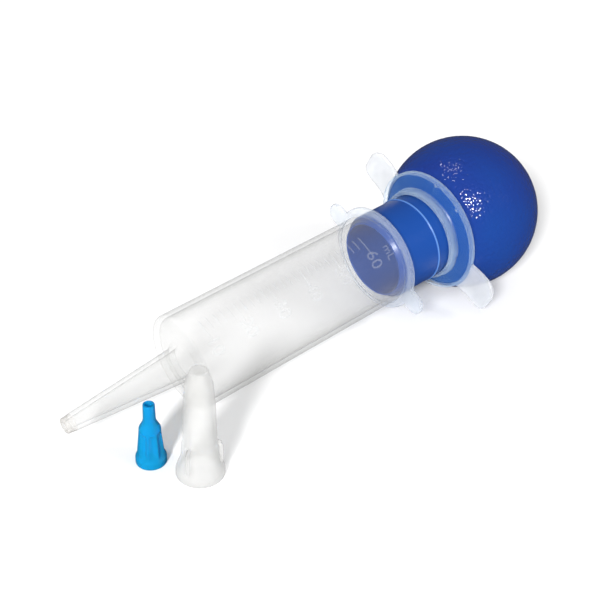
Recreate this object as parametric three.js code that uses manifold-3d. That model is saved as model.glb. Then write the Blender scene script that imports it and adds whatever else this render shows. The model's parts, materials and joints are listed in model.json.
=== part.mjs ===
// A bulb syringe used as a nasal aspirator, lying on a table, with its two loose accessories.
//
// Pieces: a clear barrel with a hollow taper tip, a rubber bulb whose neck plugs the barrel's mouth,
// a winged finger collar on that neck, a tip cap and a small tube adapter that both stand upright.
//
// Units are millimetres, +Z is up and the table is z = 0. The syringe is drawn in a frame of its own:
// x runs along its axis from the barrel's shoulder to the bulb, and every profile point is [radius, x].

import * as THREE from 'three';
import { mergeVertices } from 'three/addons/utils/BufferGeometryUtils.js';
import Module from 'manifold-3d';

const wasm = await Module();
wasm.setup();

// ---- driving dimensions ----

const barrelRadius = 16.75;
const barrelWall = 1.45;
const barrelLength = 87;
const flangeRadius = 19.5;
const flangeThickness = 1.8;
const tabReach = 26;
const tabHalfWidth = 4;
const tabAngle = 65;

const tipLength = 43.7;
const tipBaseRadius = 6.2;
const tipEndRadius = 2.6;
const tipWall = 1.2;
const shoulderWall = 1.6;

const fitGap = 0.3;
const neckRadius = 16;
const neckStepRadius = 15.6;
const neckBoreRadius = 12.2;
const neckBeadX = 102.4;
const neckEndX = 110.9;
const plugDepth = 2.4;

const ballRadius = 28.7;
const ballWall = 2.3;
const ballCentreX = 130.6;
const ballJoinRadius = 25.6;

const collarFrontX = 107.2;
const collarHubRadius = 17.3;
const collarRimRadius = 23.2;
const wingAngle = 62.3;
const wingReach = 36;
const wingHalfWidth = 7.4;
const wingThickness = 1.8;
const wingCornerRadius = 5;
const ribHalfWidth = 0.7;
const ribOffset = 75;

const capHeight = 39.3;
const capFlangeRadius = 7.7;
const capPlace = [-14.7, -30.5];
const capFinCount = 3;
const capFinAngle = -41.5;

const adapterHeight = 22.4;
const adapterBaseRadius = 4.9;
const adapterPlace = [-23.7, -17];

const shoulderEdge = 0.9;

// The syringe rests on the ball and on the lower edge of the barrel's shoulder, so its axis rises to the ball.
const restSpan = ballCentreX - shoulderEdge;
const restTilt = Math.asin(ballRadius / Math.hypot(restSpan, barrelRadius)) - Math.atan2(barrelRadius, restSpan);

const tubeSegments = 48;
const ballSegments = 40;
const smallSegments = 24;

// ---- helpers ----

function degrees(angle) {
  return angle * Math.PI / 180;
}

// A ring-shaped solid: the closed profile of [radius, x] points turned about the x axis.
function turned(profile, segments) {
  const points = profile.map(([radius, x]) => new THREE.Vector2(radius, x));
  points.push(points[0].clone());
  const geometry = new THREE.LatheGeometry(points, segments);
  geometry.rotateZ(-Math.PI / 2);
  return geometry;
}

// The same about the z axis, for pieces that stand upright, with profile points [radius, height].
function turnedUpright(profile, segments) {
  const geometry = turned(profile, segments);
  geometry.rotateY(-Math.PI / 2);
  return geometry;
}

function closedMesh(geometry) {
  const bare = geometry.clone();
  bare.deleteAttribute('normal');
  bare.deleteAttribute('uv');
  return mergeVertices(bare, 1e-4);
}

function signedVolume(geometry) {
  const position = geometry.attributes.position;
  const index = geometry.index;
  const a = new THREE.Vector3();
  const b = new THREE.Vector3();
  const c = new THREE.Vector3();
  let volume = 0;
  for (let i = 0; i < index.count; i += 3) {
    a.fromBufferAttribute(position, index.getX(i));
    b.fromBufferAttribute(position, index.getX(i + 1));
    c.fromBufferAttribute(position, index.getX(i + 2));
    volume += a.dot(b.cross(c)) / 6;
  }
  return volume;
}

function solid(geometry) {
  const mesh = closedMesh(geometry);
  const triangles = new Uint32Array(mesh.index.array);
  if (signedVolume(mesh) < 0) {
    for (let i = 0; i < triangles.length; i += 3) {
      [triangles[i], triangles[i + 1]] = [triangles[i + 1], triangles[i]];
    }
  }
  const vertices = new Float32Array(mesh.attributes.position.array);
  return new wasm.Manifold(new wasm.Mesh({ numProp: 3, vertProperties: vertices, triVerts: triangles }));
}

function geometryOf(manifold) {
  const mesh = manifold.getMesh();
  const geometry = new THREE.BufferGeometry();
  geometry.setAttribute('position', new THREE.BufferAttribute(new Float32Array(mesh.vertProperties), 3));
  geometry.setIndex(new THREE.BufferAttribute(new Uint32Array(mesh.triVerts), 1));
  geometry.computeVertexNormals();
  return geometry;
}

function joined(solids) {
  return geometryOf(solids.reduce((sum, next) => sum.add(next)));
}

// A flat outline in the plane across the axis, with x to the side and y away from the axis,
// made into a slab from xLow to xHigh and turned about the axis to the given angle from straight up.
function acrossAxis(outline, xLow, xHigh, angle) {
  const geometry = new THREE.ExtrudeGeometry(outline, { depth: xHigh - xLow, bevelEnabled: false, curveSegments: 6 });
  const sideways = new THREE.Vector3(0, 1, 0);
  const outward = new THREE.Vector3(0, 0, 1);
  const along = new THREE.Vector3(1, 0, 0);
  geometry.applyMatrix4(new THREE.Matrix4().makeBasis(sideways, outward, along));
  geometry.translate(xLow, 0, 0);
  geometry.rotateX(-degrees(angle));
  return geometry;
}

// A tongue that starts at the axis side and ends round at its reach.
function tongue(start, reach, halfWidth, corner) {
  const outline = new THREE.Shape();
  outline.moveTo(-halfWidth, start);
  outline.lineTo(halfWidth, start);
  outline.lineTo(halfWidth, reach - corner);
  outline.absarc(halfWidth - corner, reach - corner, corner, 0, Math.PI / 2, false);
  outline.absarc(corner - halfWidth, reach - corner, corner, Math.PI / 2, Math.PI, false);
  outline.closePath();
  return outline;
}

function material(color, roughness, opacity) {
  return new THREE.MeshStandardMaterial({
    color,
    roughness,
    metalness: 0,
    opacity,
    transparent: opacity < 1,
  });
}

// ---- barrel ----

function makeBarrel() {
  const boreRadius = barrelRadius - barrelWall;
  const flangeFront = barrelLength - flangeThickness;
  const profile = [
    [tipEndRadius - tipWall, -tipLength],
    [tipEndRadius - 0.4, -tipLength],
    [tipEndRadius, 0.5 - tipLength],
    [tipBaseRadius, -1],
    [tipBaseRadius + 0.9, 0],
    [barrelRadius - shoulderEdge, 0],
    [barrelRadius - 0.27, 0.27],
    [barrelRadius, shoulderEdge],
    [barrelRadius, flangeFront - 0.5],
    [barrelRadius + 0.5, flangeFront],
    [flangeRadius - 0.4, flangeFront],
    [flangeRadius, flangeFront + 0.4],
    [flangeRadius, barrelLength - 0.4],
    [flangeRadius - 0.4, barrelLength],
    [boreRadius + 0.3, barrelLength],
    [boreRadius, barrelLength - 0.3],
    [boreRadius, shoulderWall + shoulderEdge],
    [boreRadius - 0.27, shoulderWall + 0.27],
    [boreRadius - shoulderEdge, shoulderWall],
    [tipBaseRadius - tipWall, shoulderWall],
    [tipBaseRadius - tipWall - 0.5, 0],
  ];
  const parts = [solid(turned(profile, tubeSegments))];
  const middle = barrelRadius - barrelWall / 2;
  for (const angle of [tabAngle, tabAngle + 180]) {
    const outline = tongue(middle, tabReach, tabHalfWidth, tabHalfWidth - 0.1);
    parts.push(solid(acrossAxis(outline, flangeFront, barrelLength, angle)));
  }
  return joined(parts);
}

// ---- bulb ----

function makeNeck() {
  const plugFront = barrelLength - plugDepth;
  const plugRadius = barrelRadius - barrelWall - fitGap;
  const faceX = barrelLength + fitGap;
  const profile = [
    [neckBoreRadius, plugFront],
    [neckBoreRadius + 0.7, plugFront],
    [plugRadius - 0.5, plugFront + 1.1],
    [plugRadius, plugFront + 1.7],
    [plugRadius, faceX],
    [neckRadius - 0.2, faceX],
    [neckRadius, faceX + 0.2],
    [neckRadius, neckBeadX - 0.4],
    [neckRadius + 0.2, neckBeadX],
    [neckRadius, neckBeadX + 0.4],
    [neckStepRadius, neckBeadX + 0.8],
    [neckStepRadius, neckEndX],
    [neckBoreRadius, neckEndX],
  ];
  return geometryOf(solid(turned(profile, tubeSegments)));
}

// Points along a sphere about the ball's centre, from the front join to the back pole or the reverse.
function ballArc(radius, startRadius, steps) {
  const first = Math.PI - Math.asin(startRadius / radius);
  const arc = [];
  for (let i = 0; i <= steps; i += 1) {
    const angle = first * (1 - i / steps);
    arc.push([radius * Math.sin(angle), ballCentreX + radius * Math.cos(angle)]);
  }
  arc[steps][0] = 0;
  return arc;
}

function makeBall() {
  const frontX = neckEndX + fitGap;
  const outside = [
    [neckBoreRadius, frontX],
    [neckStepRadius, frontX],
    [neckStepRadius + 0.3, frontX + 0.7],
    [16.6, frontX + 1.2],
    [23.6, frontX + 3.15],
    [24.7, frontX + 4.3],
    ...ballArc(ballRadius, ballJoinRadius, 14),
  ];
  const inside = [
    ...ballArc(ballRadius - ballWall, 23.2, 11).reverse(),
    [21.5, frontX + 5.8],
    [14, frontX + 3.6],
    [neckBoreRadius, frontX + 2.6],
  ];
  return geometryOf(solid(turned([...outside, ...inside], ballSegments)));
}

// ---- finger collar ----

function makeCollarRing() {
  const bore = neckStepRadius + fitGap;
  const profile = [
    [bore, collarFrontX + 0.3],
    [bore + 0.3, collarFrontX],
    [collarHubRadius - 0.4, collarFrontX],
    [collarHubRadius, collarFrontX + 0.5],
    [collarHubRadius, collarFrontX + 3.1],
    [collarHubRadius + 0.9, collarFrontX + 4],
    [collarRimRadius - 1.6, collarFrontX + 4.9],
    [collarRimRadius - 1.3, collarFrontX + 4.4],
    [collarRimRadius - 0.4, collarFrontX + 4.4],
    [collarRimRadius, collarFrontX + 4.9],
    [collarRimRadius, collarFrontX + 6.3],
    [collarRimRadius - 0.4, collarFrontX + 6.5],
    [bore + 1.1, collarFrontX + 4.9],
    [bore, collarFrontX + 4],
  ];
  return solid(turned(profile, tubeSegments));
}

// A wing is a strip that arches from the hub over the rim, hollow towards the tip.
function makeWing(angle) {
  const rootRadius = collarHubRadius - 0.4;
  const stations = [
    [rootRadius, 3.9],
    [22.5, 5],
    [26, 5.9],
    [29.5, 6.2],
    [33, 5.9],
    [wingReach + 1, 5.1],
  ];
  const side = new THREE.Shape();
  stations.forEach(([radius, x], i) => {
    const front = collarFrontX + x - wingThickness / 2;
    if (i === 0) side.moveTo(front, radius);
    else side.lineTo(front, radius);
  });
  for (const [radius, x] of [...stations].reverse()) {
    side.lineTo(collarFrontX + x + wingThickness / 2, radius);
  }
  side.closePath();
  const strip = new THREE.ExtrudeGeometry(side, { depth: 2 * wingHalfWidth + 2, bevelEnabled: false });
  strip.translate(0, 0, -wingHalfWidth - 1);
  strip.rotateX(Math.PI / 2);
  strip.rotateX(-degrees(angle));
  const outline = tongue(rootRadius - 1, wingReach, wingHalfWidth, wingCornerRadius);
  const plan = acrossAxis(outline, collarFrontX, collarFrontX + 12, angle);
  return solid(strip).intersect(solid(plan));
}

function makeRib(angle) {
  const outline = new THREE.Shape();
  outline.moveTo(-ribHalfWidth, collarHubRadius - 0.5);
  outline.lineTo(ribHalfWidth, collarHubRadius - 0.5);
  outline.lineTo(ribHalfWidth, collarRimRadius - 0.8);
  outline.lineTo(-ribHalfWidth, collarRimRadius - 0.8);
  outline.closePath();
  return solid(acrossAxis(outline, collarFrontX + 3.5, collarFrontX + 5.1, angle));
}

function makeCollar() {
  const bore = neckStepRadius + fitGap;
  const parts = [makeCollarRing()];
  for (const wing of [wingAngle, wingAngle + 180]) {
    parts.push(makeWing(wing));
    parts.push(makeRib(wing + ribOffset));
    parts.push(makeRib(wing - ribOffset));
  }
  const whole = parts.reduce((sum, next) => sum.add(next));
  const clearance = [[0, collarFrontX - 2], [bore, collarFrontX - 2], [bore, collarFrontX + 10], [0, collarFrontX + 10]];
  return geometryOf(whole.subtract(solid(turned(clearance, tubeSegments))));
}

// ---- loose accessories ----

function makeCap() {
  const profile = [
    [0, capHeight],
    [1.6, capHeight - 0.2],
    [2.8, capHeight - 1.1],
    [3.7, capHeight - 3],
    [4.3, capHeight - 5.2],
    [4.85, 26.5],
    [5.35, 12.8],
    [5.7, 8],
    [6.6, 5.6],
    [7.3, 3.6],
    [capFlangeRadius, 1.8],
    [capFlangeRadius, 0],
    [6.6, 0],
    [6.2, 3.2],
    [5.2, 6],
    [4.6, 9],
    [4.3, 13],
    [3.8, 26.5],
    [3.3, capHeight - 5.4],
    [2.3, capHeight - 2.4],
    [0, capHeight - 1.4],
  ];
  const parts = [solid(turnedUpright(profile, smallSegments))];
  for (let i = 0; i < capFinCount; i += 1) {
    const outline = new THREE.Shape();
    outline.moveTo(5, 2.6);
    outline.lineTo(7, 3.4);
    outline.lineTo(6.9, 11);
    outline.lineTo(6.4, 12.6);
    outline.lineTo(5, 13.4);
    outline.closePath();
    const fin = new THREE.ExtrudeGeometry(outline, { depth: 1.2, bevelEnabled: false });
    fin.translate(0, 0, -0.6);
    fin.rotateX(Math.PI / 2);
    fin.rotateZ(degrees(capFinAngle + i * 360 / capFinCount));
    parts.push(solid(fin));
  }
  return joined(parts);
}

function makeAdapter() {
  const profile = [
    [1, adapterHeight],
    [1.6, adapterHeight],
    [1.8, adapterHeight - 0.2],
    [1.9, 16.4],
    [2.5, 15.4],
    [3.2, 13.9],
    [3.5, 12.4],
    [4.4, 3.2],
    [4.6, 2.6],
    [adapterBaseRadius, 2.3],
    [adapterBaseRadius, 0.2],
    [adapterBaseRadius - 0.2, 0],
    [3.5, 0],
    [2.6, 12],
    [1, 13.4],
  ];
  return geometryOf(solid(turnedUpright(profile, smallSegments)));
}

// ---- assembly ----

const clearPolypropylene = material(0xeef2f0, 0.3, 0.45);
const blueRubber = material(0x1f47b4, 0.35, 1);
const bluePolypropylene = material(0x1f9ae8, 0.3, 0.85);

function part(name, geometry, finish) {
  const mesh = new THREE.Mesh(geometry, finish.clone());
  mesh.name = name;
  return mesh;
}

const syringe = new THREE.Group();
syringe.add(part('barrel', makeBarrel(), clearPolypropylene));
syringe.add(part('bulb_neck', makeNeck(), blueRubber));
syringe.add(part('bulb_ball', makeBall(), blueRubber));
syringe.add(part('finger_collar', makeCollar(), clearPolypropylene));
syringe.rotation.y = -restTilt;
syringe.position.z = ballRadius - ballCentreX * Math.sin(restTilt);

const cap = part('tip_cap', makeCap(), clearPolypropylene);
cap.position.set(...capPlace, 0);

const adapter = part('tube_adapter', makeAdapter(), bluePolypropylene);
adapter.position.set(...adapterPlace, 0);

const pieces = new THREE.Group();
pieces.add(syringe, cap, adapter);

// The origin is the middle of the whole object's box, on the table.
const box = new THREE.Box3().setFromObject(pieces, true);
const middle = box.getCenter(new THREE.Vector3());
pieces.position.set(-middle.x, -middle.y, -box.min.z);

const aspirator = new THREE.Group();
aspirator.add(pieces);

export default aspirator;
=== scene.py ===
"""A bulb syringe used as a nasal aspirator, lying on a table, with its tip cap and tube adapter.

Profiles are in millimetres. The syringe's pieces are drawn in a frame of its own: x runs along
its axis from the barrel's shoulder to the ball, y is level and z points up from the axis. A turned
profile is a list of (radius, x), and an angle about the axis is counted from z towards y.
"""

import json
import math

import bmesh
import bpy
from mathutils import Matrix, Vector, noise


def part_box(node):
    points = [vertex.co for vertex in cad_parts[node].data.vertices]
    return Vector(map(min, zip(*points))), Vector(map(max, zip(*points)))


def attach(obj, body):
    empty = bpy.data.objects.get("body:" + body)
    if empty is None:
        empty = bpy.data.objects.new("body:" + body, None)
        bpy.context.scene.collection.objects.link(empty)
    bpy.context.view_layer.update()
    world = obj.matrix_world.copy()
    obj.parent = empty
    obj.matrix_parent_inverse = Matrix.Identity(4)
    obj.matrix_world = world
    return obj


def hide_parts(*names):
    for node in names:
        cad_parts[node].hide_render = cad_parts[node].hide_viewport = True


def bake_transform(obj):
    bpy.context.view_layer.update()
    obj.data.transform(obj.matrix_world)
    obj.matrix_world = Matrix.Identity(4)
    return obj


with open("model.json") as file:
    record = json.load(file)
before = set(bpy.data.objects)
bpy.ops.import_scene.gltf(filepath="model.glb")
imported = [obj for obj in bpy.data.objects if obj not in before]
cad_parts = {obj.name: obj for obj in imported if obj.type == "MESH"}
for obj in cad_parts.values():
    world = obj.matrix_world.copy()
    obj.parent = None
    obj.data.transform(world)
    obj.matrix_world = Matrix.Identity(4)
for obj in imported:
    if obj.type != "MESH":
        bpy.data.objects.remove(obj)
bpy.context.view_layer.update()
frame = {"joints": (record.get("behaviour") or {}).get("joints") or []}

MM = 0.001

# ---- places, from the frame ----

joints = {joint["name"]: joint for joint in frame["joints"]}
along = Vector(joints["bulb_pull"]["axis"]).normalized()
level = Vector((0, 1, 0))
COLLAR_PIVOT_X = 110
axis_start = Vector(joints["collar_turn"]["pos_m"]) - along * COLLAR_PIVOT_X * MM
SYRINGE = Matrix((along, level, along.cross(level))).transposed().to_4x4()
SYRINGE.translation = axis_start
shoulder_ground = Vector((axis_start.x, axis_start.y, 0))


def standing(node):
    """The frame of an upright piece: x of its profile runs up from the table."""
    low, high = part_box(node)
    upright = Matrix(((0, 0, -1), (0, 1, 0), (1, 0, 0))).to_4x4()
    upright.translation = Vector(((low.x + high.x) / 2, (low.y + high.y) / 2, low.z))
    return upright


# ---- mesh helpers ----

def placed(name, data):
    """A new object of the scene with the given data."""
    obj = bpy.data.objects.new(name, data)
    bpy.context.scene.collection.objects.link(obj)
    return obj


def rounded(corners, steps=4):
    """The outline with its corners rounded: a corner is (a, b) or (a, b, reach of the rounding)."""
    points = []
    for i, corner in enumerate(corners):
        here = Vector(corner[:2])
        if len(corner) == 2:
            points.append(tuple(here))
            continue
        before = Vector(corners[i - 1][:2]) - here
        after = Vector(corners[(i + 1) % len(corners)][:2]) - here
        reach = min(corner[2], before.length * 0.49, after.length * 0.49)
        start = here + before.normalized() * reach
        end = here + after.normalized() * reach
        for k in range(steps + 1):
            t = k / steps
            points.append(tuple(start * (1 - t) ** 2 + here * 2 * t * (1 - t) + end * t ** 2))
    return points


def arc(centre_x, radius, start, end, steps):
    """Points (r, x) on a circle about the axis point centre_x, from angle start to end in degrees."""
    turns = [math.radians(start + (end - start) * k / steps) for k in range(steps + 1)]
    return [(max(radius * math.sin(t), 0), centre_x + radius * math.cos(t)) for t in turns]


def finished(name, bm, place, smooth=True):
    """An object from a bmesh drawn in millimetres in the given frame."""
    bmesh.ops.recalc_face_normals(bm, faces=bm.faces)
    mesh = bpy.data.meshes.new(name)
    bm.to_mesh(mesh)
    bm.free()
    mesh.transform(place @ Matrix.Scale(MM, 4))
    if smooth:
        mesh.shade_smooth()
    return placed(name, mesh)


# A profile point nearer to the axis than this is one vertex on it.
ON_AXIS = 1e-4
# How many sides a turned piece has.
LARGE_SIDES = 180
MEDIUM_SIDES = 144
SMALL_SIDES = 128


def turned_bmesh(profile, segments, flutes=None):
    """A closed turned solid. flutes(x, angle) may scale the radius."""
    bm = bmesh.new()
    rings = []
    for radius, x in profile:
        if radius < ON_AXIS:
            rings.append([bm.verts.new((x, 0, 0))] * segments)
            continue
        ring = []
        for k in range(segments):
            angle = 2 * math.pi * k / segments
            r = radius * (flutes(x, angle) if flutes else 1)
            ring.append(bm.verts.new((x, r * math.sin(angle), r * math.cos(angle))))
        rings.append(ring)
    for ring, following in zip(rings, rings[1:] + rings[:1]):
        for k in range(segments):
            n = (k + 1) % segments
            corners = list(dict.fromkeys((ring[k], ring[n], following[n], following[k])))
            if len(corners) > 2:
                bm.faces.new(corners)
    return bm


def turned(name, profile, segments, place, flutes=None):
    """The same solid as an object."""
    return finished(name, turned_bmesh(profile, segments, flutes), place)


def tongue(start, reach, half_width, corner, steps=10):
    """The outline (across, outward) of a tongue with a rounded end."""
    points = [(-half_width, start), (half_width, start)]
    for side in (1, -1):
        for k in range(steps + 1):
            t = math.pi / 2 * (k / steps if side > 0 else 1 - k / steps)
            across = side * (half_width - corner + corner * math.cos(t))
            points.append((across, reach - corner + corner * math.sin(t)))
    return points


def slab(name, outline, levels, angle, place):
    """A plate across the axis with rounded edges. levels are (x, inset of the outline)."""
    turn = Matrix.Rotation(-math.radians(angle), 3, "X")
    count = len(outline)
    inward = []
    for i in range(count):
        before = Vector(outline[i]) - Vector(outline[i - 1])
        after = Vector(outline[(i + 1) % count]) - Vector(outline[i])
        normal = (before.normalized() + after.normalized()).normalized()
        inward.append(Vector((-normal.y, normal.x)))
    bm = bmesh.new()
    rings = []
    for x, inset in levels:
        moved = [Vector(p) + n * inset for p, n in zip(outline, inward)]
        rings.append([bm.verts.new(turn @ Vector((x, p.x, p.y))) for p in moved])
    for ring, following in zip(rings, rings[1:]):
        for k in range(count):
            n = (k + 1) % count
            bm.faces.new((ring[k], ring[n], following[n], following[k]))
    bm.faces.new(rings[0])
    bm.faces.new(rings[-1])
    return finished(name, bm, place)


def soft_levels(low, high, edge, steps=4):
    """Levels of a slab from x low to high whose edges are rounded by edge."""
    turns = [math.pi / 2 * k / steps for k in range(steps + 1)]
    front = [(low + edge * (1 - math.sin(t)), edge * (1 - math.cos(t))) for t in reversed(turns)]
    back = [(high - edge * (1 - math.sin(t)), edge * (1 - math.cos(t))) for t in turns]
    return front + back


def apply(obj, kind, **settings):
    """Adds a modifier to an object and applies it."""
    modifier = obj.modifiers.new(kind, kind)
    for key, value in settings.items():
        setattr(modifier, key, value)
    bpy.context.view_layer.update()
    evaluated = obj.evaluated_get(bpy.context.evaluated_depsgraph_get())
    mesh = bpy.data.meshes.new_from_object(evaluated)
    obj.modifiers.remove(modifier)
    old = obj.data
    obj.data = mesh
    bpy.data.meshes.remove(old)
    mesh.shade_smooth()


def union(obj, others):
    """obj becomes the union of itself and the others, which are removed."""
    for other in others:
        apply(obj, "BOOLEAN", operation="UNION", solver="EXACT", object=other)
        bpy.data.objects.remove(other)


def even_normals(obj):
    """Flat faces keep their own shading beside rounded edges."""
    obj.modifiers.new("even_normals", "WEIGHTED_NORMAL")


# ---- materials ----

def principled(name, colour, roughness, **sockets):
    """A Principled material and its shader; a socket's name is given with _ for its spaces."""
    material = bpy.data.materials.new(name)
    material.use_nodes = True
    shader = material.node_tree.nodes["Principled BSDF"]
    shader.inputs["Base Color"].default_value = (*colour, 1)
    shader.inputs["Roughness"].default_value = roughness
    for key, value in sockets.items():
        shader.inputs[key.replace("_", " ")].default_value = value
    return material, shader


def node(material, kind, **inputs):
    """A new node of the material, with some of its inputs set in the same way."""
    made = material.node_tree.nodes.new(kind)
    for key, value in inputs.items():
        made.inputs[key.replace("_", " ")].default_value = value
    return made


def noise_factor(material, scale, detail=2.0):
    """A noise in object space; scale is in cells per metre."""
    place = material.node_tree.nodes.new("ShaderNodeTexCoord")
    texture = node(material, "ShaderNodeTexNoise", Scale=scale, Detail=detail)
    material.node_tree.links.new(place.outputs["Object"], texture.inputs["Vector"])
    return texture.outputs[0]


def scaled(material, source, low, high):
    """The 0 to 1 source mapped to low to high."""
    mapped = node(material, "ShaderNodeMapRange")
    mapped.inputs["To Min"].default_value = low
    mapped.inputs["To Max"].default_value = high
    material.node_tree.links.new(source, mapped.inputs["Value"])
    return mapped.outputs["Result"]


def add_bump(material, shader, height, strength, distance):
    """Bends the shader's normal by a height; distance is the height's full depth in metres."""
    bump = node(material, "ShaderNodeBump", Strength=strength, Distance=distance)
    material.node_tree.links.new(height, bump.inputs["Height"])
    material.node_tree.links.new(bump.outputs["Normal"], shader.inputs["Normal"])


def vary_roughness(material, shader, low, high, scale):
    """Roughness that drifts between low and high."""
    source = scaled(material, noise_factor(material, scale), low, high)
    material.node_tree.links.new(source, shader.inputs["Roughness"])


# Noises are sized in cells per metre, and depths are in metres.
BUMP_DEPTH = 0.0002
CLOUD_CELLS = 90
GLOSS_CELLS = 260
GRAIN_CELLS = 350
CLOUD = 0.15
SCATTER_DEPTH = 0.004


def translucent(name, colour, roughness, face, edge, sharpness, glow=0, grain=0.02):
    """Milky see-through plastic.

    It covers a share of what is behind it: face where it is seen square on, edge at grazing
    angles. A higher sharpness keeps the change nearer to the outline. glow is its share of
    scattered light, and grain the strength of its fine bump.
    """
    material, shader = principled(name, colour, roughness, IOR=1.49)
    shader.inputs["Subsurface Weight"].default_value = glow
    shader.inputs["Subsurface Radius"].default_value = (1, 1, 1)
    shader.inputs["Subsurface Scale"].default_value = SCATTER_DEPTH
    links = material.node_tree.links
    facing = node(material, "ShaderNodeLayerWeight", Blend=0.5)
    curve = node(material, "ShaderNodeMath")
    curve.operation = "POWER"
    curve.inputs[1].default_value = sharpness
    links.new(facing.outputs["Facing"], curve.inputs[0])
    cover = scaled(material, curve.outputs[0], face, edge)
    haze = scaled(material, noise_factor(material, CLOUD_CELLS, 3), 1 - CLOUD, 1 + CLOUD)
    product = node(material, "ShaderNodeMath")
    product.operation = "MULTIPLY"
    product.use_clamp = True
    links.new(cover, product.inputs[0])
    links.new(haze, product.inputs[1])
    links.new(product.outputs[0], shader.inputs["Alpha"])
    vary_roughness(material, shader, roughness * 0.8, roughness * 1.25, GLOSS_CELLS)
    add_bump(material, shader, noise_factor(material, GRAIN_CELLS, 3), grain, BUMP_DEPTH)
    return material


def glassy(name, colour, roughness):
    """Coloured see-through plastic that bends the light."""
    material, shader = principled(name, colour, roughness, IOR=1.45, Transmission_Weight=0.68)
    vary_roughness(material, shader, roughness * 0.7, roughness * 1.4, GLOSS_CELLS)
    add_bump(material, shader, noise_factor(material, 420, 3), 0.05, BUMP_DEPTH)
    return material


# Each has its colour, roughness, cover square on, cover at grazing angles and sharpness.
BARREL_PLASTIC = translucent("barrel_plastic", (0.53, 0.53, 0.515), 0.2, 0.05, 0.48, 3.0)
TIP_PLASTIC = translucent("tip_plastic", (0.56, 0.56, 0.545), 0.2, 0.09, 0.52, 2.6)
TIP_END_PLASTIC = translucent("tip_end_plastic", (0.50, 0.48, 0.45), 0.2, 0.3, 0.8, 1.6)
FLANGE_PLASTIC = translucent("flange_plastic", (0.52, 0.58, 0.66), 0.2, 0.1, 0.85, 2.0, glow=1)
# The web's azure is painted light: blue light from the ball, scattered in the clear plastic.
WEB_BALL_LIGHT_PLASTIC = translucent("web_ball_light_plastic", (0.24, 0.50, 0.78), 0.2, 0.02, 0.36, 3.0)
HOOP_PLASTIC = translucent("hoop_plastic", (0.46, 0.60, 0.78), 0.2, 0.16, 0.8, 1.8, glow=1)
WING_PLASTIC = translucent(
    "wing_plastic", (0.64, 0.66, 0.69), 0.2, 0.3, 0.85, 1.4, glow=1, grain=0.06)
CAP_PLASTIC = translucent(
    "cap_plastic", (0.60, 0.60, 0.585), 0.35, 0.27, 0.38, 2.0, glow=0.5, grain=0.05)
MARK_PLASTIC = translucent("mark_plastic", (0.62, 0.65, 0.68), 0.4, 0.06, 0.22, 1.5)
AZURE_PLASTIC = glassy("azure_plastic", (0.010, 0.52, 0.95), 0.08)


# The colour sockets of a Mix node, counted among all its sockets.
MIX_A, MIX_B, MIX_RESULT = 6, 7, 2
PEEL_CELLS = 760
PEEL_DEPTH = 0.00017


def ball_rubber():
    """Glossy blue rubber in two close shades, with an orange-peel skin of small domes."""
    material, shader = principled("ball_rubber", (0.009, 0.032, 0.22), 0.1, IOR=1.42)
    links = material.node_tree.links
    blotch = noise_factor(material, 28, 2)
    mix = node(material, "ShaderNodeMix")
    mix.data_type = "RGBA"
    mix.inputs[MIX_A].default_value = (0.0105, 0.020, 0.165, 1)
    mix.inputs[MIX_B].default_value = (0.0050, 0.047, 0.215, 1)
    links.new(blotch, mix.inputs[0])
    links.new(mix.outputs[MIX_RESULT], shader.inputs["Base Color"])
    vary_roughness(material, shader, 0.08, 0.15, 900)
    place = material.node_tree.nodes.new("ShaderNodeTexCoord")
    cells = node(material, "ShaderNodeTexVoronoi", Scale=PEEL_CELLS)
    links.new(place.outputs["Object"], cells.inputs["Vector"])
    square = node(material, "ShaderNodeMath")
    square.operation = "POWER"
    square.inputs[1].default_value = 2
    links.new(cells.outputs["Distance"], square.inputs[0])
    add_bump(material, shader, scaled(material, square.outputs[0], 1, 0), 1.0, PEEL_DEPTH)
    return material


def neck_rubber():
    """The smoother and duller rubber of the neck."""
    material, shader = principled("neck_rubber", (0.0046, 0.049, 0.25), 0.3, IOR=1.45)
    vary_roughness(material, shader, 0.28, 0.4, 300)
    add_bump(material, shader, noise_factor(material, 500, 2), 0.06, BUMP_DEPTH)
    return material


def inner_rubber():
    """The inside of the ball, with a painted glow that stands in for light through its wall."""
    material, shader = principled("inner_rubber", (0.02, 0.14, 0.4), 0.5)
    # Painted glow: the inside shines by itself, in place of light through the ball's wall.
    shader.inputs["Emission Color"].default_value = (0.003, 0.15, 0.24, 1)
    shader.inputs["Emission Strength"].default_value = 1.0
    add_bump(material, shader, noise_factor(material, 300, 2), 0.1, BUMP_DEPTH)
    return material


BALL_RUBBER = ball_rubber()
INNER_RUBBER_GLOW = inner_rubber()
NECK_RUBBER = neck_rubber()
# A lighter blue on the neck's bead is a painted highlight: a bright line all round it.
BEAD_HIGHLIGHT_RUBBER, _ = principled("bead_highlight_rubber", (0.07, 0.17, 0.44), 0.3)


def paint(obj, materials, choose, place):
    """Gives each face the one of the materials that choose(x, radius) names, in place's frame."""
    obj.data.materials.clear()
    for material in materials:
        obj.data.materials.append(material)
    back = place.inverted()
    for face in obj.data.polygons:
        centre = (back @ face.center) / MM
        chosen = choose(centre.x, math.hypot(centre.y, centre.z))
        face.material_index = materials.index(chosen)


def piece(obj, body, material, slot, *nodes):
    """obj gets its material, unless it is painted, rides on a body and stands for CAD nodes."""
    if material:
        obj.data.materials.clear()
        obj.data.materials.append(material)
    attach(obj, body)
    if nodes:
        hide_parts(*nodes)


# ---- barrel ----

BARREL_RADIUS = 16.75
BORE_RADIUS = 15.3
BARREL_LENGTH = 87
FLANGE_RADIUS = 19.5
FLANGE_FRONT = 85.2
SHOULDER_THICKNESS = 1.6
TIP_LENGTH = 43.7
TIP_END_X = -TIP_LENGTH + 3
TIP_FOOT_X = -2.2
TIP_FOOT_RADIUS = 7.5
TAB_ANGLES = (65, 245)
TAB_REACH = 26
TAB_HALF_WIDTH = 4
TAB_CORNER = 3.9
TAB_EDGE = 0.5


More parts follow.
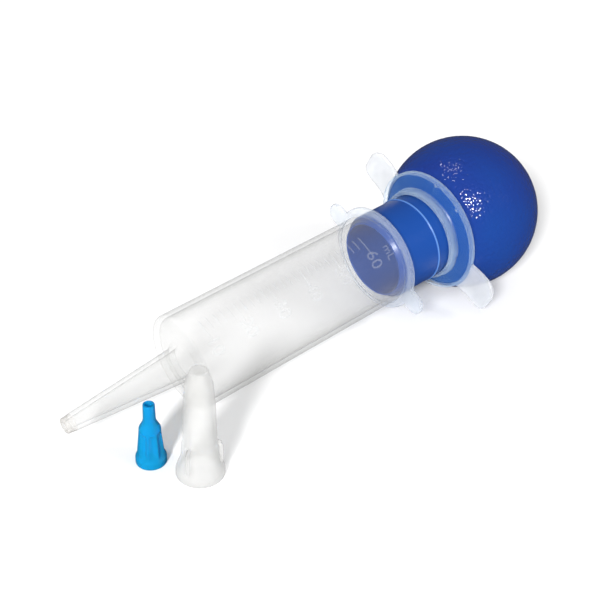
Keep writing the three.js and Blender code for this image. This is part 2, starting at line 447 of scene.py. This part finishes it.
def make_barrel():
    """Cylinder, shoulder, hollow taper tip, and a mouth flange with two tabs."""
    profile = rounded([
        (1.35, -TIP_LENGTH, 0.3),
        (2.6, -TIP_LENGTH, 0.7),
        (2.75, -TIP_LENGTH + 2.2, 1),
        (2.95, TIP_END_X),
        (6.0, TIP_FOOT_X, 1),
        (6.4, 0, 1.0),
        (BARREL_RADIUS, 0, 1.3),
        (BARREL_RADIUS, FLANGE_FRONT, 0.9),
        (FLANGE_RADIUS, FLANGE_FRONT, 0.6),
        (FLANGE_RADIUS, BARREL_LENGTH, 0.6),
        (BORE_RADIUS, BARREL_LENGTH, 0.5),
        (BORE_RADIUS, SHOULDER_THICKNESS, 1.6),
        (5.2, SHOULDER_THICKNESS, 0.8),
        (4.7, TIP_FOOT_X, 1),
    ], 5)
    barrel = turned("barrel_shell", profile, LARGE_SIDES, SYRINGE)
    middle = (BARREL_RADIUS + BORE_RADIUS) / 2
    tabs = []
    for angle in TAB_ANGLES:
        outline = tongue(middle, TAB_REACH, TAB_HALF_WIDTH, TAB_CORNER)
        levels = soft_levels(FLANGE_FRONT, BARREL_LENGTH, TAB_EDGE)
        tabs.append(slab("tab", outline, levels, angle, SYRINGE))
    union(barrel, tabs)
    even_normals(barrel)

    def choose(x, radius):
        if x > FLANGE_FRONT - 0.8 and radius > BORE_RADIUS + 0.1:
            return FLANGE_PLASTIC
        if x < TIP_END_X:
            return TIP_END_PLASTIC
        return TIP_PLASTIC if x < 0.3 and radius < TIP_FOOT_RADIUS else BARREL_PLASTIC

    plastics = (BARREL_PLASTIC, TIP_PLASTIC, FLANGE_PLASTIC, TIP_END_PLASTIC)
    paint(barrel, plastics, choose, SYRINGE)
    piece(barrel, "barrel_body", None, "clear_plastic", "barrel")


# ---- graduations ----

SCALE_ANGLE = 346
NUMBER_ANGLE = 313
FIRST_VOLUME = 10
LAST_VOLUME = 60
MARK_STEP = 2
NUMBER_STEP = 10
MARK_HEIGHT = 0.12
MARK_WIDTH = 0.34
MARK_SINK = 0.05
LONG_MARK = 7.2
SHORT_MARK = 4.2
NUMBER_SIZE = 6.6
NUMBER_HALF_THICKNESS = 0.08
NUMBER_LIFT = 0.05
UNIT_SIZE = 4.4
UNIT_VOLUME = 65
# Where the scale would read nothing: the taper tip and the shoulder hold the first few mL.
ZERO_X = -7.6
MM_PER_ML = 1.36


def on_barrel(across, x, height):
    """A point on the barrel's skin: across runs clockwise round it from the scale's own angle."""
    angle = math.radians(SCALE_ANGLE) - across / BARREL_RADIUS
    radius = BARREL_RADIUS + height
    return Vector((x, radius * math.sin(angle), radius * math.cos(angle)))


def add_mark(bm, across_low, across_high, x_low, x_high):
    """A raised bar on the barrel's skin."""
    steps = max(1, round(across_high - across_low))
    section = (
        (x_low, -MARK_SINK), (x_low, MARK_HEIGHT), (x_high, MARK_HEIGHT), (x_high, -MARK_SINK))
    rings = []
    for k in range(steps + 1):
        across = across_low + (across_high - across_low) * k / steps
        rings.append([bm.verts.new(on_barrel(across, x, height)) for x, height in section])
    for ring, following in zip(rings, rings[1:]):
        for k in range(4):
            n = (k + 1) % 4
            bm.faces.new((ring[k], ring[n], following[n], following[k]))
    bm.faces.new(rings[0])
    bm.faces.new(rings[-1])


def make_graduations():
    """Marks for the volumes, longer where a number stands."""
    bm = bmesh.new()
    for volume in range(FIRST_VOLUME, LAST_VOLUME + 1, MARK_STEP):
        x = ZERO_X + volume * MM_PER_ML
        reach = SHORT_MARK if volume % NUMBER_STEP else LONG_MARK
        add_mark(bm, 0, reach, x - MARK_WIDTH / 2, x + MARK_WIDTH / 2)
    marks = finished("graduation_marks", bm, SYRINGE, smooth=False)
    piece(marks, "barrel_body", MARK_PLASTIC, "clear_plastic")


def make_label(name, words, volume, size):
    """Raised figures on the barrel's skin beside a volume's mark, read with the tip down."""
    text = bpy.data.curves.new("label", "FONT")
    text.body = words
    text.size = size
    text.align_x = "CENTER"
    text.align_y = "CENTER"
    text.extrude = NUMBER_HALF_THICKNESS
    text.resolution_u = 4
    holder = placed("label", text)
    bpy.context.view_layer.update()
    evaluated = holder.evaluated_get(bpy.context.evaluated_depsgraph_get())
    mesh = bpy.data.meshes.new_from_object(evaluated)
    bpy.data.objects.remove(holder)
    bm = bmesh.new()
    bm.from_mesh(mesh)
    bpy.data.meshes.remove(mesh)
    bmesh.ops.remove_doubles(bm, verts=bm.verts, dist=0.001)
    middle = math.radians(SCALE_ANGLE - NUMBER_ANGLE) * BARREL_RADIUS
    x = ZERO_X + volume * MM_PER_ML
    for vertex in bm.verts:
        across, upward, out = vertex.co
        vertex.co = on_barrel(middle + across, x + upward, out + NUMBER_LIFT)
    label = finished(name, bm, SYRINGE, smooth=False)
    piece(label, "barrel_body", MARK_PLASTIC, "clear_plastic")


# ---- bulb ----

PLUG_FRONT = 84.6
PLUG_RADIUS = BORE_RADIUS - 0.3
NECK_FACE = 87.3
NECK_BEAD_X = 102.4
NECK_BEAD_HEIGHT = 0.35
NECK_BEAD_HALF_WIDTH = 0.45
NECK_BEAD_HALF_TOP = 0.2
NECK_END = 110.9
BALL_FRONT = 111.2
BALL_CENTRE = 130.6
BALL_RADIUS = 28.7
BALL_WALL = 2.3
NECK_RADIUS = 16
NECK_STEP_RADIUS = 15.6
NECK_BORE = 13.5


def make_neck():
    """The neck with its plug in the barrel's mouth and a bead round it, whose lighter blue is a
    painted highlight.
    """
    profile = rounded([
        (NECK_BORE, PLUG_FRONT, 0.5),
        (NECK_BORE + 0.6, PLUG_FRONT, 0.3),
        (PLUG_RADIUS, PLUG_FRONT + 1.7, 0.3),
        (PLUG_RADIUS, NECK_FACE),
        (NECK_RADIUS, NECK_FACE, 0.3),
        (NECK_RADIUS, NECK_BEAD_X - NECK_BEAD_HALF_WIDTH, 0.2),
        (NECK_RADIUS + NECK_BEAD_HEIGHT, NECK_BEAD_X - NECK_BEAD_HALF_TOP, 0.15),
        (NECK_RADIUS + NECK_BEAD_HEIGHT, NECK_BEAD_X + NECK_BEAD_HALF_TOP, 0.15),
        (NECK_STEP_RADIUS, NECK_BEAD_X + NECK_BEAD_HALF_WIDTH, 0.2),
        (NECK_STEP_RADIUS, NECK_END),
        (NECK_BORE, NECK_END),
    ], 4)
    neck = turned("bulb_neck_skin", profile, MEDIUM_SIDES, SYRINGE)
    even_normals(neck)

    def choose(x, radius):
        # The bead's faces take the painted highlight.
        return BEAD_HIGHLIGHT_RUBBER if abs(x - NECK_BEAD_X) < 0.4 else NECK_RUBBER

    paint(neck, (NECK_RUBBER, BEAD_HIGHLIGHT_RUBBER), choose, SYRINGE)
    piece(neck, "bulb", None, "neck_rubber", "bulb_neck")


PEBBLE_SIZE = 1.5
PEBBLE_HEIGHT = 0.07
BALL_RINGS = 240
BALL_SEGMENTS = 480
BALL_FRONT_RADIUS = 24.2
BALL_FRONT_INNER_RADIUS = 23.2
HIDDEN_FRONT_RADIUS = 22


def pebble(point):
    """Height, 0 to 1, of the orange-peel skin at a point in millimetres."""
    to_middle = noise.voronoi(point / PEBBLE_SIZE)[0][0]
    return 1 - min(1.0, 1.5 * to_middle ** 2)


def make_ball():
    """The ball, with a flat cone in front whose part behind the collar is smooth like the neck.
    """
    outside = rounded([
        (NECK_BORE, BALL_FRONT),
        (NECK_STEP_RADIUS, BALL_FRONT),
        (NECK_STEP_RADIUS + 0.4, BALL_FRONT + 1.1, 0.6),
        (HIDDEN_FRONT_RADIUS, BALL_FRONT + 2.72),
        (23.6, BALL_FRONT + 3.15, 2),
        (BALL_FRONT_RADIUS, BALL_CENTRE - 15.43),
    ], 5)
    join = 180 - math.degrees(math.asin(BALL_FRONT_RADIUS / BALL_RADIUS))
    outside += arc(BALL_CENTRE, BALL_RADIUS, join, 0, BALL_RINGS)[1:]
    inner = BALL_RADIUS - BALL_WALL
    inner_join = 180 - math.degrees(math.asin(BALL_FRONT_INNER_RADIUS / inner))
    inside = arc(BALL_CENTRE, inner, 0, inner_join, 40)
    inside += [(21.5, BALL_FRONT + 5.8), (14, BALL_FRONT + 3.6), (NECK_BORE, BALL_FRONT + 2.6)]
    bm = turned_bmesh(outside + inside, BALL_SEGMENTS)
    centre = Vector((BALL_CENTRE, 0, 0))
    for vertex in bm.verts:
        from_centre = vertex.co - centre
        if from_centre.length > BALL_RADIUS - 0.5:
            vertex.co -= from_centre.normalized() * PEBBLE_HEIGHT * (1 - pebble(vertex.co))
    ball = finished("bulb_ball_skin", bm, SYRINGE)
    inner_limit = BALL_RADIUS - BALL_WALL / 2

    def choose(x, radius):
        behind_front = x > BALL_FRONT + 2.4 + 0.27 * (radius - NECK_RADIUS)
        # Inside faces take the rubber with the painted glow.
        if behind_front and math.hypot(x - BALL_CENTRE, radius) < inner_limit:
            return INNER_RUBBER_GLOW
        hidden = x < BALL_FRONT + 3 and radius < HIDDEN_FRONT_RADIUS
        return NECK_RUBBER if hidden else BALL_RUBBER

    paint(ball, (BALL_RUBBER, INNER_RUBBER_GLOW, NECK_RUBBER), choose, SYRINGE)
    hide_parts("bulb_ball")
    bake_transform(ball)


# ---- finger collar ----

COLLAR_FRONT = 107.2
COLLAR_BORE = NECK_STEP_RADIUS + 0.3
HUB_RADIUS = 17.3
RIM_RADIUS = 23.2
WING_ANGLE = 62.3
WING_REACH = 36
WING_HALF_WIDTH = 7.4
WING_THICKNESS = 1.7
WING_CORNER = 5.2
WING_EDGE = 0.8
WING_RISE = 2.35
WING_ROWS = 40
WING_COLUMNS = 20
RIB_HALF_WIDTH = 0.7
RIB_OFFSET = 75
COLLAR_VOXEL = 0.24


def make_collar_ring():
    """The hub, the dished web and the outer rim, turned as one."""
    f = COLLAR_FRONT
    profile = rounded([
        (COLLAR_BORE, f, 0.3),
        (HUB_RADIUS, f, 0.4),
        (HUB_RADIUS, f + 3.0, 0.6),
        (HUB_RADIUS + 1.0, f + 4.0, 0.5),
        (RIM_RADIUS - 1.7, f + 4.95, 0.3),
        (RIM_RADIUS - 1.3, f + 4.3, 0.3),
        (RIM_RADIUS, f + 4.3, 0.4),
        (RIM_RADIUS, f + 6.4, 0.5),
        (RIM_RADIUS - 0.9, f + 6.3, 0.3),
        (COLLAR_BORE + 1.1, f + 4.9, 0.4),
        (COLLAR_BORE, f + 4.0, 0.3),
    ], 4)
    return turned("finger_collar_skin", profile, MEDIUM_SIDES, SYRINGE)


def wing_middle(radius):
    """Where the middle of a wing's thickness lies along the axis at a radius."""
    t = (radius - HUB_RADIUS) / (WING_REACH - HUB_RADIUS)
    return COLLAR_FRONT + 3.9 + WING_RISE * math.sin(math.pi * min(t * 0.78, 1))


def make_wing(angle):
    """An arched tongue: a grid across its width and along its reach, closed by its own edges."""
    turn = Matrix.Rotation(-math.radians(angle), 3, "X")
    start = HUB_RADIUS - 0.5
    rows, columns = WING_ROWS, WING_COLUMNS
    bm = bmesh.new()
    layers = []
    for side in (-1, 1):
        grid = []
        for i in range(rows + 1):
            radius = start + (WING_REACH - start) * (1 - (1 - i / rows) ** 1.4)
            beyond = max(0.0, radius - (WING_REACH - WING_CORNER))
            bow = math.sqrt(max(WING_CORNER ** 2 - beyond ** 2, 0.01))
            width = WING_HALF_WIDTH - WING_CORNER + bow
            row = []
            for j in range(columns + 1):
                u = math.sin(math.pi / 2 * (2 * j / columns - 1))
                across = u * width
                to_edge = min(width - abs(across), WING_REACH - radius)
                round_off = math.sqrt(max(0.0, 1 - (1 - min(to_edge / WING_EDGE, 1)) ** 2))
                x = wing_middle(radius) + side * WING_THICKNESS / 2 * round_off
                row.append(bm.verts.new(turn @ Vector((x, across, radius))))
            grid.append(row)
        layers.append(grid)
    for grid in layers:
        for i in range(rows):
            for j in range(columns):
                bm.faces.new((grid[i][j], grid[i][j + 1], grid[i + 1][j + 1], grid[i + 1][j]))
    front, back = layers
    rim = [(0, j) for j in range(columns + 1)]
    rim += [(i, columns) for i in range(1, rows + 1)]
    rim += [(rows, j) for j in range(columns - 1, -1, -1)]
    rim += [(i, 0) for i in range(rows - 1, 0, -1)]
    for (i, j), (m, n) in zip(rim, rim[1:] + rim[:1]):
        bm.faces.new((front[i][j], front[m][n], back[m][n], back[i][j]))
    bmesh.ops.remove_doubles(bm, verts=bm.verts, dist=0.001)
    return finished("wing", bm, SYRINGE)


def make_rib(angle):
    """A low radial rib on the web's front."""
    half, inner, outer = RIB_HALF_WIDTH, HUB_RADIUS - 0.5, RIM_RADIUS - 0.8
    outline = [(-half, inner), (half, inner), (half, outer), (-half, outer)]
    levels = [(COLLAR_FRONT + 3.4, 0), (COLLAR_FRONT + 5.2, 0)]
    return slab("rib", outline, levels, angle, SYRINGE)


def make_collar():
    """Ring, wings and ribs as one skin, remeshed so that they flow into each other."""
    collar = make_collar_ring()
    others = []
    for angle in (WING_ANGLE, WING_ANGLE + 180):
        others.append(make_wing(angle))
        others.append(make_rib(angle + RIB_OFFSET))
        others.append(make_rib(angle - RIB_OFFSET))
    union(collar, others)
    apply(collar, "REMESH", mode="VOXEL", voxel_size=COLLAR_VOXEL * MM)
    apply(collar, "SMOOTH", factor=0.5, iterations=6)

    def choose(x, radius):
        if radius > RIM_RADIUS + 0.3:
            return WING_PLASTIC
        front_hoop = radius < HUB_RADIUS + 0.4 and x < COLLAR_FRONT + 3.3
        # The web takes the plastic tinted with painted blue light from the ball.
        return HOOP_PLASTIC if front_hoop or radius > RIM_RADIUS - 1.0 else WEB_BALL_LIGHT_PLASTIC

    paint(collar, (WEB_BALL_LIGHT_PLASTIC, HOOP_PLASTIC, WING_PLASTIC), choose, SYRINGE)
    piece(collar, "collar", None, "collar_plastic", "finger_collar")


# ---- loose pieces ----

CAP_HEIGHT = 39.3
CAP_FIN_ANGLES = (-41.5, 78.5, 198.5)
CAP_FIN_HALF_THICKNESS = 0.6


def make_fin(angle, place):
    """A thin upright fin that leans against the cap's foot."""
    outline = rounded([
        (5, 2.4),
        (7.05, 3.2, 0.5),
        (6.95, 11, 0.6),
        (6.4, 12.5, 0.5),
        (5, 13.2),
    ], 3)
    turn = Matrix.Rotation(math.radians(angle), 3, "X")
    bm = bmesh.new()
    left, right = [
        [bm.verts.new(turn @ Vector((x, side, -radius))) for radius, x in outline]
        for side in (-CAP_FIN_HALF_THICKNESS, CAP_FIN_HALF_THICKNESS)
    ]
    for k in range(len(outline)):
        n = (k + 1) % len(outline)
        bm.faces.new((left[k], left[n], right[n], right[k]))
    bm.faces.new(left)
    bm.faces.new(right)
    return finished("fin", bm, place)


def make_cap():
    """A tapered cap, closed at the top and hollow from below, with a flared foot and fins."""
    place = standing("tip_cap")
    h = CAP_HEIGHT
    profile = rounded([
        (0, h),
        (2.7, h, 0.4),
        (4.3, h - 4.6, 1.6),
        (4.9, 26.5, 2),
        (5.35, 12.8, 1.5),
        (5.75, 11.6, 0.8),
        (6.0, 6.2, 1.5),
        (7.2, 3.2, 1.2),
        (7.7, 1.6, 0.8),
        (7.7, 0, 0.3),
        (6.7, 0, 0.3),
        (6.2, 3.4, 1.2),
        (5.0, 7, 1.5),
        (4.6, 12, 1.5),
        (3.8, 26.5, 2),
        (3.3, h - 5.2, 1.5),
        (2.2, h - 2.2, 0.6),
        (0, h - 1.5),
    ], 5)
    cap = turned("tip_cap_skin", profile, SMALL_SIDES, place)
    fins = [make_fin(angle, place) for angle in CAP_FIN_ANGLES]
    union(cap, fins)
    even_normals(cap)
    piece(cap, "cap", CAP_PLASTIC, "cap_plastic", "tip_cap")


ADAPTER_HEIGHT = 22.4
ADAPTER_FLUTES = 8
FLUTE_LOW = 2.9
FLUTE_HIGH = 12.6
FLUTE_FADE = 1.2
FLUTE_DEPTH = 0.2
SKIRT_STEPS = 16


def adapter_flutes(x, angle):
    """The adapter's skirt has hollows between sharp ridges, from its base ring to its shoulder."""
    if not FLUTE_LOW < x < FLUTE_HIGH:
        return 1
    fade = min(1, (x - FLUTE_LOW) / FLUTE_FADE, (FLUTE_HIGH - x) / FLUTE_FADE)
    return 1 - FLUTE_DEPTH * fade * abs(math.sin(ADAPTER_FLUTES * angle / 2))


def make_adapter():
    """A stepped nozzle on a fluted skirt, with a base ring and a socket from below."""
    h = ADAPTER_HEIGHT
    skirt = [(4.4 - 0.9 * k / SKIRT_STEPS, 3.1 + 9.4 * k / SKIRT_STEPS)
             for k in range(SKIRT_STEPS + 1)]
    profile = rounded([
        (3.5, 0, 0.2),
        (4.9, 0, 0.3),
        (4.9, 2.2, 0.4),
        *skirt,
        (3.4, 13.4, 0.8),
        (2.0, 16.2, 1.0),
        (1.85, h, 0.25),
        (1.15, h, 0.2),
        (1.05, 13.4, 0.5),
        (2.6, 12, 0.8),
    ], 5)
    place = standing("tube_adapter")
    adapter = turned("tube_adapter_skin", profile, SMALL_SIDES, place, adapter_flutes)
    even_normals(adapter)
    piece(adapter, "adapter", AZURE_PLASTIC, "azure_plastic", "tube_adapter")


make_barrel()
make_graduations()
for volume in range(FIRST_VOLUME, LAST_VOLUME + 1, NUMBER_STEP):
    make_label(f"number_{volume}", str(volume), volume, NUMBER_SIZE)
make_label("unit", "mL", UNIT_VOLUME, UNIT_SIZE)
make_neck()
make_ball()
make_collar()
make_cap()
make_adapter()

# ---- stage ----

FLOOR_SIZE = 6.0
FLOOR_MIRRORED = (0.07, 0.07, 0.08, 1)
WHITE = (1, 1, 1, 1)
ROOM_SHOWN = 1.0
ROOM_LIGHTING = 0.5
ROOM_MIRRORED = 0.12
ball_middle = axis_start + along * BALL_CENTRE * MM


def make_floor():
    """A white floor that shows dark in glossy reflections, as a dim room would."""
    bm = bmesh.new()
    bmesh.ops.create_grid(bm, x_segments=1, y_segments=1, size=FLOOR_SIZE / 2)
    mesh = bpy.data.meshes.new("floor")
    bm.to_mesh(mesh)
    bm.free()
    floor = placed("floor", mesh)
    material, shader = principled("floor_white", (0.86, 0.86, 0.86), 0.9)
    mirrored = node(material, "ShaderNodeBsdfDiffuse", Color=FLOOR_MIRRORED)
    path = node(material, "ShaderNodeLightPath")
    mix = node(material, "ShaderNodeMixShader")
    links = material.node_tree.links
    links.new(path.outputs["Is Glossy Ray"], mix.inputs[0])
    links.new(shader.outputs[0], mix.inputs[1])
    links.new(mirrored.outputs[0], mix.inputs[2])
    output = material.node_tree.nodes["Material Output"]
    links.new(mix.outputs[0], output.inputs["Surface"])
    mesh.materials.append(material)


def make_world():
    """A soft white room: the camera sees it full white, and it lights the object less strongly."""
    world = bpy.data.worlds.new("room")
    bpy.context.scene.world = world
    world.use_nodes = True
    tree = world.node_tree
    shown = tree.nodes["Background"]
    lighting = tree.nodes.new("ShaderNodeBackground")
    mirrored = tree.nodes.new("ShaderNodeBackground")
    strengths = ((shown, ROOM_SHOWN), (lighting, ROOM_LIGHTING), (mirrored, ROOM_MIRRORED))
    for background, strength in strengths:
        background.inputs["Color"].default_value = WHITE
        background.inputs["Strength"].default_value = strength
    path = tree.nodes.new("ShaderNodeLightPath")
    below = lighting
    for ray, source in (("Is Glossy Ray", mirrored), ("Is Camera Ray", shown)):
        mix = tree.nodes.new("ShaderNodeMixShader")
        tree.links.new(path.outputs[ray], mix.inputs[0])
        tree.links.new(below.outputs[0], mix.inputs[1])
        tree.links.new(source.outputs[0], mix.inputs[2])
        below = mix
    tree.links.new(below.outputs[0], tree.nodes["World Output"].inputs["Surface"])


def direction(azimuth, elevation):
    """The way to a light: azimuth is counted from +x towards +y."""
    a, e = math.radians(azimuth), math.radians(elevation)
    return Vector((math.cos(e) * math.cos(a), math.cos(e) * math.sin(a), math.sin(e)))


def lamp_turn(towards):
    """The turn of a lamp that stands in the direction towards and shines back from it."""
    return towards.to_track_quat("Z", "Y").to_euler()


def add_lamp(name, azimuth, elevation, distance, size, power, mirrored=True, lighting=True):
    """A round lamp aimed at the ball. It may show in gloss only, or light without showing."""
    light = bpy.data.lights.new(name, "AREA")
    light.shape = "DISK"
    light.size = size
    light.energy = power
    lamp = placed(name, light)
    towards = direction(azimuth, elevation)
    lamp.location = ball_middle + towards * distance
    lamp.rotation_euler = lamp_turn(towards)
    lamp.visible_glossy = mirrored
    lamp.visible_diffuse = lighting


def add_sun(name, azimuth, elevation, spread, strength):
    """Even light from one side, not seen in gloss; spread is the angle that its disk fills."""
    light = bpy.data.lights.new(name, "SUN")
    light.angle = math.radians(spread)
    light.energy = strength
    lamp = placed(name, light)
    lamp.rotation_euler = lamp_turn(direction(azimuth, elevation))
    lamp.visible_glossy = False


CAMERA_OFFSET = Vector((-164.7, -242.9, 239.5)) * MM
CAMERA_AZIMUTH = 41.5
CAMERA_ELEVATION = 34.0
CAMERA_ROLL = 2.4
CAMERA_LENS = 67.83
CAMERA_SENSOR = 36


def make_camera():
    """The camera looks down at the syringe from beside its tip; azimuth is from +y towards +x."""
    data = bpy.data.cameras.new("camera")
    data.lens = CAMERA_LENS
    data.sensor_width = CAMERA_SENSOR
    data.clip_start = 0.01
    camera = placed("camera", data)
    camera.location = shoulder_ground + CAMERA_OFFSET
    a, e = math.radians(CAMERA_AZIMUTH), math.radians(CAMERA_ELEVATION)
    ahead = Vector((math.sin(a) * math.cos(e), math.cos(a) * math.cos(e), -math.sin(e)))
    right = ahead.cross(Vector((0, 0, 1))).normalized()
    up = right.cross(ahead)
    roll = math.radians(CAMERA_ROLL)
    tilted_right = right * math.cos(roll) + up * math.sin(roll)
    tilted_up = up * math.cos(roll) - right * math.sin(roll)
    camera.rotation_euler = Matrix((tilted_right, tilted_up, -ahead)).transposed().to_euler()
    bpy.context.scene.camera = camera


make_floor()
make_world()
make_camera()
add_sun("key", azimuth=212, elevation=29, spread=9.5, strength=4.45)
add_lamp("fill", azimuth=300, elevation=35, distance=3, size=1.0, power=28, mirrored=False)
add_lamp("flash", azimuth=235, elevation=39, distance=2.5, size=0.22, power=70, lighting=False)
add_lamp("ceiling", azimuth=120, elevation=71, distance=2.5, size=0.14, power=6, lighting=False)
bpy.context.scene.view_settings.view_transform = "Standard"
bpy.context.scene.cycles.transparent_max_bounces = 32
